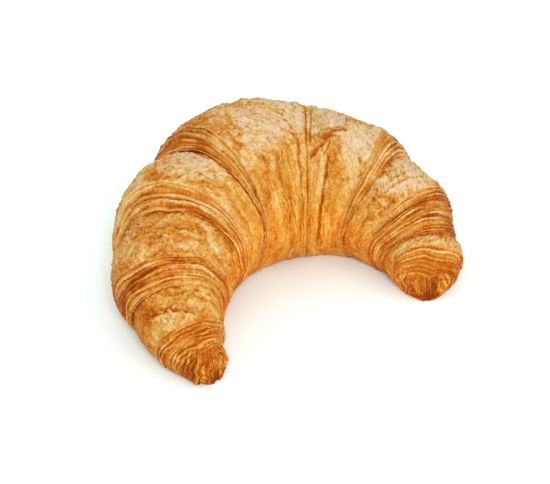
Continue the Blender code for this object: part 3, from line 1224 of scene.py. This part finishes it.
@dataclass(frozen=True)
class CrustFinish:
    """Egg-washed baked crust: a pale top, orange on the sides, brown in the cuts.

    The pale top is partly paler crust and partly painted sheen. The stops are the colours as
    they look in the studio, which shows a white card at the exposure given here.
    """

    stops: tuple[tuple[float, tuple[int, int, int]], ...] = (
        (0.00, (255, 232, 182)),
        (0.15, (252, 212, 140)),
        (0.30, (247, 188, 94)),
        (0.45, (237, 163, 57)),
        (0.60, (223, 133, 40)),
        (0.75, (206, 105, 22)),
        (0.90, (184, 82, 10)),
        (1.00, (150, 64, 6)),
    )
    # Cream and rosy for the pale crown: partly paler crust, partly painted sheen and highlight.
    cream_sheen: tuple[int, int, int] = (255, 233, 174)
    rosy: tuple[int, int, int] = (255, 224, 200)
    cream_sheen_share: float = 0.85
    # A warm multiplier for the low bay side, above 1 in red: painted warm light.
    bay_glow: Colour = (1.22, 1.04, 0.8, 1.0)
    exposure: float = 1.58
    roughness: float = 0.5
    coat: float = 0.02
    coat_roughness: float = 0.32
    sheen_level: float = 0.08
    sheen_tint: Colour = (1.0, 0.6, 0.22, 1.0)
    broad_scale: float = 170.0
    mottle_scale: float = 420.0
    speck_scale: float = 1050.0
    bump_depth: float = 0.00026
    bump_strength: float = 0.8

    MOTTLE, STREAK, DASH, SPECK = (0.16, 0.26), (0.1, 0.5), 1.4, (0.3, 0.5)
    STREAK_SIZES, DASH_SIZES, DASH_SHIFT = (2.4, 0.3, -0.22), (0.3, 1.25), 7.0
    ASKEW, ASKEW_WARP = (0.77, 0.64), 3.0
    HEIGHTS = (0.9, 0.7, 0.9, -1.8)
    ROSY, DULL_FADE, ROUGHER = (5.0, 0.45), 1.25, (0.3, 0.25)

    def lit(self, colour: tuple[int, int, int]) -> Colour:
        """The crust's own colour for a screen colour as it looks in the studio.

        Args:
            colour: red, green and blue from 0 to 255.

        Returns:
            The same colour as light, less the exposure.
        """
        shares = [channel / 255 for channel in colour]
        light = [s / 12.92 if s <= 0.04045 else ((s + 0.055) / 1.055) ** 2.4 for s in shares]
        return (*(channel / self.exposure for channel in light), 1.0)

    def material(self) -> bpy.types.Material:
        """Makes the crust's material.

        Returns:
            The material.
        """
        board = Board("baked_crust")
        place = board.node("ShaderNodeTexCoord", output="Object")
        names = ("tone", "cut", "along", "round", "pale")
        tone, cut, along, round_it, pale = (board.attribute(name) for name in names)
        mottle = board.noise(place, self.mottle_scale, 4.0)
        speck = board.noise(place, self.speck_scale, 5.0, 0.78)
        broad = board.noise(place, self.broad_scale, 2.0)
        length, breadth, in_cut = self.STREAK_SIZES
        grain_at = board.place(along * length, round_it * (breadth + cut * in_cut))
        streak = board.noise(grain_at, 1.0, 4.0, 0.6)
        (more, less), (length, breadth) = self.ASKEW, self.DASH_SIZES
        askew = along * more + round_it * less
        over = round_it * more - along * less + broad * self.ASKEW_WARP
        dash_at = board.place(askew * length, over * breadth, self.DASH_SHIFT)
        dash = board.noise(dash_at, 1.0, 2.0, 0.6) * pale
        terms = (
            (mottle, self.MOTTLE, pale), (streak, self.STREAK, cut), (speck, self.SPECK, pale + cut)
        )
        # Tone plus dashes on the pale crown: painted crinkle highlights and shade, also bumped.
        baked = tone + dash * self.DASH
        for pattern, (everywhere, there), where in terms:
            baked = baked + pattern * (everywhere + where * there)
        baked = baked.clamped()
        ramp_stops = [(stop, self.lit(colour)) for stop, colour in self.stops]
        colour = board.node("ShaderNodeValToRGB", {"stops": ramp_stops}, {"Fac": baked})
        # The pale crown goes cream and rosy, less where darker: paler crust and painted sheen.
        contrast, level = self.ROSY
        rosy = (broad * contrast + level).clamped()
        cream_sheen = board.blend(rosy, self.lit(self.cream_sheen), self.lit(self.rosy))
        cream_sheen_mix = (pale * (self.cream_sheen_share - baked * self.DULL_FADE)).clamped()
        colour = board.blend(cream_sheen_mix, colour, cream_sheen)
        # The low bay side is multiplied warmer and brighter: painted warm light.
        colour = board.blend(board.attribute("bay_glow"), colour, self.bay_glow, "MULTIPLY")
        heights = zip((streak, mottle, speck, dash), self.HEIGHTS)
        first, *others = (pattern * height for pattern, height in heights)
        bump = {
            "Height": sum(others, first), "Strength": self.bump_strength,
            "Distance": self.bump_depth,
        }
        by_speck, by_mottle = self.ROUGHER
        rough = self.roughness + speck * by_speck + mottle * by_mottle
        surface = {
            "Base Color": colour,
            "Roughness": rough.clamped(),
            "Normal": board.node("ShaderNodeBump", None, bump),
            "Specular IOR Level": self.sheen_level,
            "Specular Tint": self.sheen_tint,
            "Coat Weight": self.coat,
            "Coat Roughness": self.coat_roughness,
        }
        return board.finish(board.node("ShaderNodeBsdfPrincipled", None, surface))


@dataclass
class CrustMaker:
    """Models the tiers and dresses them."""

    roll: Roll = field(default_factory=Roll)
    material: bpy.types.Material = field(default_factory=lambda: CrustFinish().material())

    MERGE = 1e-6
    SHEET_RELIEF, SHEET_RAGGED = 0.6, 0.7
    # How much darker the sheet's under side and lower rim are painted: painted shade.
    UNDERSIDE_TONE, RIM_FROM = 0.25, 0.95

    def build(self, tier: Tier) -> bpy.types.Object:
        """Models one tier as a closed skin and dresses it.

        Args:
            tier: the tier's plan.

        Returns:
            The dressed piece.
        """
        skin = Skin(tier, self.roll, tier.rings(), tier.turn)
        return self.closed_skin(tier.name, Relief(skin).points(), BrowningAndPaintedLight(skin).marks())

    def closed_skin(
        self, name: str, points: Array, marks: Mapping[str, Array], poles: bool = True
    ) -> bpy.types.Object:
        """A grid rolled up into a closed skin.

        Args:
            name: the piece's name.
            points: rings of points in metres, each ring in order round the skin.
            marks: numbers to store on the points, with a value for each.
            poles: whether each end is drawn together into one point. Without it each end ring
                must lie folded flat, point on point.

        Returns:
            The dressed piece, smooth and facing outward.
        """
        if poles:
            first, last = (np.broadcast_to(points[k].mean(0), points[k].shape) for k in (0, -1))
            points = np.concatenate([first[None], points, last[None]])
            marks = {key: np.pad(values, ((1, 1), (0, 0)), "edge") for key, values in marks.items()}
        rows, columns = points.shape[:2]
        bpy.ops.object.select_all(action="DESELECT")
        bpy.ops.mesh.primitive_grid_add(x_subdivisions=columns, y_subdivisions=rows - 1, size=2)
        piece = bpy.context.object
        piece.name = piece.data.name = name
        places = np.empty(len(piece.data.vertices) * 3, np.float32)
        piece.data.vertices.foreach_get("co", places)
        x, y, _ = places.astype(float).reshape(-1, 3).T
        column = np.rint((x + 1) / 2 * columns).astype(int) % columns
        row = np.rint((y + 1) / 2 * (rows - 1)).astype(int)
        piece.data.vertices.foreach_set("co", points[row, column].astype(np.float32).reshape(-1))
        for key, values in marks.items():
            attribute = piece.data.attributes.new(key, "FLOAT", "POINT")
            attribute.data.foreach_set("value", values[row, column].astype(np.float32))
        piece.data.uv_layers[0].name = "OFBake"
        bpy.ops.object.mode_set(mode="EDIT")
        bpy.ops.mesh.select_all(action="SELECT")
        bpy.ops.mesh.remove_doubles(threshold=self.MERGE)
        bpy.ops.mesh.normals_make_consistent(inside=False)
        bpy.ops.object.mode_set(mode="OBJECT")
        bpy.ops.object.shade_smooth()
        self.dress(piece)
        return piece

    def build_sheet(self, sheet: TornSheet, tier: Tier) -> bpy.types.Object:
        """Models and dresses a sheet that is torn from a tier.

        Args:
            sheet: the sheet's plan.
            tier: the plan of the tier.

        Returns:
            The dressed piece.
        """
        plan = replace(tier, creases=())
        under = Skin(plan, self.roll, tier.rings(), tier.turn)
        across, down, upper = sheet.spread()
        ragged = self.SHEET_RAGGED * Grain(sheet.seed).over(4 * across, 12 * down, 0, 3)
        reach, turns = sheet.places(across, down, ragged)
        lifts = under.lifts_at(reach, turns, Relief(under).lift())
        lifts = lifts + sheet.stand_off(across, down, upper)
        rings = [Ring(row, lift, row, 1) for row, lift in zip(reach, lifts)]
        skin = Skin(replace(plan, seed=sheet.seed), self.roll, rings, turns)
        lifts = lifts + self.SHEET_RELIEF * Relief(skin).fine()
        points = self.roll.placed(self.roll.point(reach, turns, lifts, skin.floor))
        marks = BrowningAndPaintedLight(skin).marks()
        # The under side and lower rim are painted darker: painted shade under the loose edge.
        hidden = np.maximum(1 - upper, soft_step(self.RIM_FROM, 1, down))
        marks["tone"] = marks["tone"] + self.UNDERSIDE_TONE * hidden
        marks["pale"] = marks["pale"] * (1 - hidden)
        return self.closed_skin("torn_sheet", points, marks, poles=False)

    def dress(self, piece: bpy.types.Object) -> None:
        """Gives a piece the crust's finish and lets it stand for the solid.

        Args:
            piece: the piece.
        """
        piece.data.materials.clear()
        piece.data.materials.append(self.material)
        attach(piece, BODY)
        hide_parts(NODE)


@dataclass
class Croissant:
    """The whole crust, tier by tier, and the sheet torn from it."""

    maker: CrustMaker = field(default_factory=CrustMaker)

    def middle_tiers(self) -> list[Tier]:
        """The plans of the two tiers on both sides of the seam.

        Returns:
            One plan for each tier.
        """
        fold_band = Crease(30, 215, 24.2, 24.6, -0.8, 1.3, -0.3, 0, 1, -0.12)
        fold_edge = Crease(50, 215, 22.8, 23.4, -2.2, 0.4, 0.35, 0.2, 1, 0.2)
        first_seam = Crease(78, 122, 26.4, 25.9, 0, 0.34, 0.5, 0, 1, 0.4, 0.3)
        pucker = Crease(154, 178, -2, -3, 5, 0.6, 0.6, 0.3, -1, 0.3, 0.4)
        low_pucker = Crease(157, 178, 5, 11.5, 0, 0.6, 0.6, 0.2, -1, 0.26, 0.4)
        notch = Crease(20, 118, 27.2, 27.3, 0, 0.9, 0.8, 0, 1, -0.34)
        second_seam = Crease(80, 116, 28.5, 28.5, 0, 0.36, 0.8, 0.2, 1, 0.4, 0.4)
        seam_top = Crease(56, 84, 31.2, 28.4, -0.5, 0.36, 0.6, 0.1, 1, 0.34, 0.3)
        slit = Crease(88, 104, 43, 34.6, 0, 0.7, 0.6, 0, -1, 0.2, 0.2, 0.8)
        hole = Crease(99, 108, 38.2, 34.6, 0, 1.5, 1.3, 0, -1, 0.1, 0.4, 1)
        flap_edge = Crease(60, 93, 39.8, 43.1, 0, 0.4, 0.5, 0, 1, 0.36, 0.3)
        low_slit = Crease(107, 128, 37, 29.2, 0, 0.9, 0.8, 0.3, 1, 0.34)
        side_slit = Crease(106, 122, 38.4, 36.6, 0.5, 0.4, 0.7, 0.4, 1, 0.4)
        crack = Crease(122, 200, 39.4, 36.6, 1.3, 1.15, 1.1, 0.35, -1, 0.42)
        return [
            Tier(
                "middle_left", Side.LEFT, Start.FOLD,
                (Mark.SEAM, Mark.SEAM_LEFT, Mark.MIDDLE_LEFT_CREST), Mark.LEFT_FIRST_GROOVE,
                (0.4, 0.8, 0.9, 1.4, 0.7, 0.5, 0.4, 0.8), 430, 11,
                browner=0.22, bay_light=0.18, pale=0.6,
                creases=(fold_band, fold_edge, first_seam, pucker, low_pucker),
                patches=(
                    Patch(5, 98, 15, 15, 0.8), Patch(20, 84, 5.5, 15, 0.45, -0.1),
                    Patch(12, 66, 8, 7, 0.35, -0.06), Patch(-2, 136, 15, 9, 0, 0.08),
                    Patch(-10, 58, 7.5, 9, -0.5, 0.18), Patch(7.5, 151, 3.5, 4, 0, 0.14),
                ),
            ),
            Tier(
                "middle_right", Side.RIGHT, Start.UNDER,
                (Mark.SEAM, Mark.SEAM_RIGHT, Mark.CRACK, Mark.MIDDLE_RIGHT_CREST),
                Mark.RIGHT_FIRST_GROOVE, (0.2, 0.35, 0.6, 0.4, 0.7, 0.4, 0.6), 400, 23,
                emerge_depth=1, pale=0.8,
                creases=(
                    notch, second_seam, seam_top, slit, hole, flap_edge, low_slit, side_slit, crack
                ),
                patches=(
                    Patch(48, 84, 10, 15, 0.7), Patch(35, 72, 7, 11, 0.4, -0.06),
                    Patch(49, 145, 8, 13, 0, 0.05),
                ),
            ),
        ]

    def left_tiers(self) -> list[Tier]:
        """The plans of the tiers of the left horn, from the middle on.

        Returns:
            One plan for each tier.
        """
        crevice = Crease(60, 138, -26, -24.4, -0.3, 0.8, 0.3, 0, 1, 0.34)
        flake_edge = Crease(62, 112, -61, -62.4, 1.2, 0.45, 0.4, 0.4, -1, 0.3)
        sheet_edge = Crease(36, 92, -84, -90.6, 0.6, 0.5, 0.4, 0.5, -1, 0.36)
        upper_edge = Crease(60, 135, -82.4, -84, 0.5, 0.45, 0.35, 0.3, -1, 0.26)
        return [
            Tier(
                "left_first", Side.LEFT, Start.UNDER,
                (Mark.LEFT_FIRST_GROOVE, Mark.LEFT_FIRST_CREST), Mark.LEFT_SECOND_GROOVE,
                (0.3, 0.7, 0.35, 1.1, 0.45, 0.9, 0.4, 0.8), 400, 37,
                emerge_depth=1.2, browner=0.06, pale=0.7, creases=(crevice,),
                patches=(Patch(-32, 84, 7.5, 14, 0.7),),
            ),
            Tier(
                "left_second", Side.LEFT, Start.UNDER,
                (Mark.LEFT_SECOND_GROOVE, Mark.LEFT_SECOND_CREST), Mark.LEFT_THIRD_GROOVE,
                (0.3, 0.6, 0.4, 0.85, 0.4, 0.8, 0.5, 0.7), 350, 41,
                lip=0.55, foot=0.55, flaky=1.8, bake=0.07, pale=0.35, creases=(flake_edge,),
                patches=(
                    Patch(-63.5, 131, 4.2, 6.5, 0, -0.12), Patch(-63.5, 155, 4, 2.8, 0, -0.12),
                    Patch(-66, 88, 3.5, 9, 0, 0.1),
                ),
            ),
            Tier(
                "left_third", Side.LEFT, Start.UNDER,
                (Mark.LEFT_THIRD_GROOVE, Mark.LEFT_THIRD_CREST), Mark.LEFT_PINCH,
                (0.3, 0.8, 0.4, 1, 0.4, 0.7, 0.3), 320, 59, lip=0.42, foot=0.42, flaky=1.2,
                emerge_depth=0.25, bake=0.035, browner=0.08, pale=0.25,
                fan=Fan(-97, 4, 15, 2.1, 1.7), end=Mark.LEFT_END, creases=(sheet_edge, upper_edge),
                patches=(
                    Patch(-85.5, 92, 3.8, 11, 0, -0.05), Patch(-80.5, 100, 3.5, 13, 0, -0.08),
                    Patch(-89.2, 40, 4.2, 10.5, 0.1, -0.1), Patch(-82.8, 32, 3.2, 4.5, 0, 0.22),
                ),
            ),
        ]

    def right_tiers(self) -> list[Tier]:
        """The plans of the tiers of the right horn, from the middle on.

        Returns:
            One plan for each tier.
        """
        first_fold = Crease(58, 108, 69.4, 68.6, 0.6, 0.5, 0.4, 0.4, 1, 0.24)
        second_fold = Crease(60, 112, 73, 71.6, 0.4, 0.45, 0.35, 0.35, 1, 0.22)
        return [
            Tier(
                "right_first", Side.RIGHT, Start.UNDER,
                (Mark.RIGHT_FIRST_GROOVE, Mark.RIGHT_FIRST_CREST), Mark.RIGHT_SECOND_GROOVE,
                (0.3, 0.5, 0.4, 0.8, 0.5, 0.9, 0.4, 1, 0.5, 0.7, 0.4, 0.5, 0.3), 380, 71,
                lip=0.5, foot=0.5, flaky=1.5, browner=0.18, pale=0.7,
                creases=(first_fold, second_fold), patches=(Patch(70, 84, 7, 16, 0.7),),
            ),
            Tier(
                "right_second", Side.RIGHT, Start.UNDER,
                (Mark.RIGHT_SECOND_GROOVE, Mark.RIGHT_SECOND_CREST), Mark.RIGHT_PINCH,
                (0.3, 0.4, 0.3, 0.4, 0.3), 320, 83, lip=0.3, foot=0.3, emerge_depth=0.2,
                fan=Fan(95, 13, 20, 1.3, 1.3, 8), fine_lines=1.6, flaky=0.4, blisters=0.3,
                browner=0.1, pale=0.3, end=Mark.RIGHT_END,
                patches=(Patch(95.2, 95, 3, 17, 0.4, 0.01),),
            ),
        ]

    def build(self) -> None:
        """Builds and reports every tier."""
        left, right = self.middle_tiers()
        pieces = [self.maker.build(left), self.maker.build(right)]
        pieces.append(self.maker.build_sheet(TornSheet(), right))
        pieces += [self.maker.build(tier) for tier in self.left_tiers() + self.right_tiers()]
        for piece in pieces:
            LOG.info("%s: %d faces", piece.name, len(piece.data.polygons))


@dataclass
class Studio:
    """The pale floor, the soft light and the camera at the photograph's viewing angle."""

    elevation: float = math.radians(37.33)
    azimuth: float = math.radians(-32.51)
    target: Triple = (-2.32, -8.42, 20)
    distance: float = 791.4
    lens: float = 126.74
    sensor: float = 36.0
    floor_size: float = 6.0
    floor_white: Colour = (0.86, 0.955, 0.94, 1.0)
    air: float = 1.02

    def build(self) -> None:
        """Sets up everything that isn't part of the piece."""
        self.make_floor()
        self.make_lights()
        self.make_camera()

    def make_floor(self) -> None:
        """A wide matt floor."""
        bpy.ops.object.select_all(action="DESELECT")
        bpy.ops.mesh.primitive_plane_add(size=self.floor_size, location=(0, 0, 0))
        floor = bpy.context.object
        floor.name = "floor"
        board = Board("pale_floor")
        shader = board.node("ShaderNodeBsdfDiffuse", None, {"Color": self.floor_white})
        floor.data.materials.append(board.finish(shader))

    def make_lights(self) -> None:
        """Two soft lights from the front and pale air all round."""
        world = bpy.data.worlds.new("pale_air")
        world.use_nodes = True
        air = world.node_tree.nodes["Background"].inputs
        air["Color"].default_value, air["Strength"].default_value = (1, 1, 1, 1), self.air
        bpy.context.scene.world = world
        self.area_light("key", (-0.44, -0.88, 0.88), 0.36, 7.1)
        self.area_light("fill", (0.3, -1.15, 0.33), 0.5, 2.0)

    def area_light(self, name: str, place: Triple, size: float, power: float) -> None:
        """Adds a square light that points at the piece.

        Args:
            name: the light's name.
            place: where it hangs, in metres.
            size: its side, in metres.
            power: its power, in watts.
        """
        bpy.ops.object.select_all(action="DESELECT")
        bpy.ops.object.light_add(type="AREA", location=place)
        light = bpy.context.object
        light.name = light.data.name = name
        light.data.size, light.data.energy = size, power
        towards = Vector((0, 0, 0.02)) - Vector(place)
        light.rotation_euler = towards.to_track_quat("-Z", "Y").to_euler()

    def make_camera(self) -> None:
        """The camera, from where the photograph was taken."""
        e, a = self.elevation, self.azimuth
        back = Vector((math.sin(a) * math.cos(e), -math.cos(a) * math.cos(e), math.sin(e)))
        right = Vector((math.cos(a), math.sin(a), 0))
        place = (Vector(self.target) + back * self.distance) * MM
        camera = bpy.data.objects.new("camera", bpy.data.cameras.new("camera"))
        bpy.context.scene.collection.objects.link(camera)
        turned = Matrix((right, back.cross(right), back)).transposed().to_4x4()
        camera.matrix_world = Matrix.Translation(place) @ turned
        camera.data.lens, camera.data.sensor_width = self.lens, self.sensor
        camera.data.clip_start, camera.data.clip_end = 0.05, 20
        bpy.context.scene.camera = camera
        bpy.context.scene.view_settings.view_transform = "Standard"


def main() -> None:
    """Builds the croissant and its studio."""
    logging.basicConfig(level=logging.INFO, format="%(name)s %(message)s")
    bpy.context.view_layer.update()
    Croissant().build()
    Studio().build()


if __name__ == "__main__":
    main()
